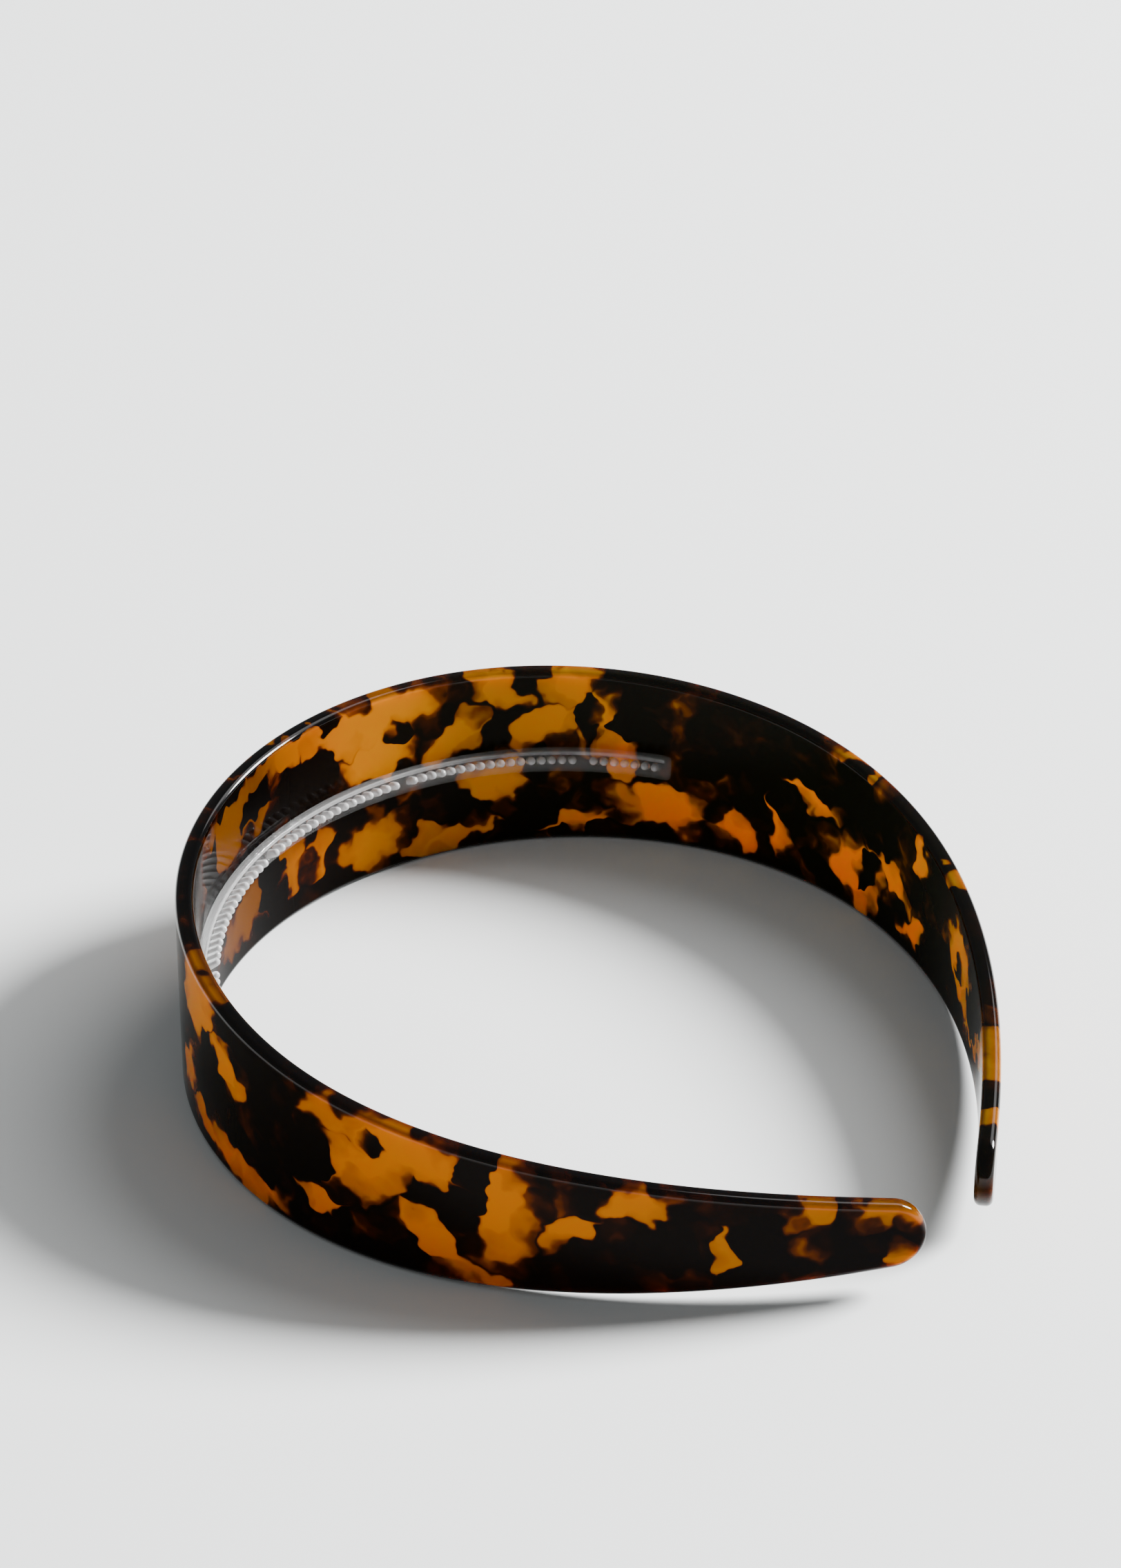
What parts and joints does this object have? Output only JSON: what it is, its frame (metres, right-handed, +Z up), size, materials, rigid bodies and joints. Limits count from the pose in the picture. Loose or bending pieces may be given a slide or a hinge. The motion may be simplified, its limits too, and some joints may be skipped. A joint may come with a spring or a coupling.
{
  "type": "headband",
  "caption": "Wide rigid tortoiseshell hairband, bent to a head shape and tapering to rounded tips, with a clear comb strip bonded inside the crown.",
  "frame": {"origin": "on the table under the middle of the band, which lies on its lower edge", "axes": "+X across the head from arm to arm, +Y from the tips to the crown, +Z up from the table across the width of the band"},
  "size_m": [0.13, 0.1463, 0.036],
  "materials": {
    "tortoiseshell": "high polish",
    "clear_comb": "clear, glossy as moulded",
    "clear_adhesive": "clear, slightly satin"
  },
  "bodies": {
    "root": {"acetate_band": "tortoiseshell", "comb_strip": "clear_comb", "adhesive_film": "clear_adhesive"}
  },
  "joints": []
}
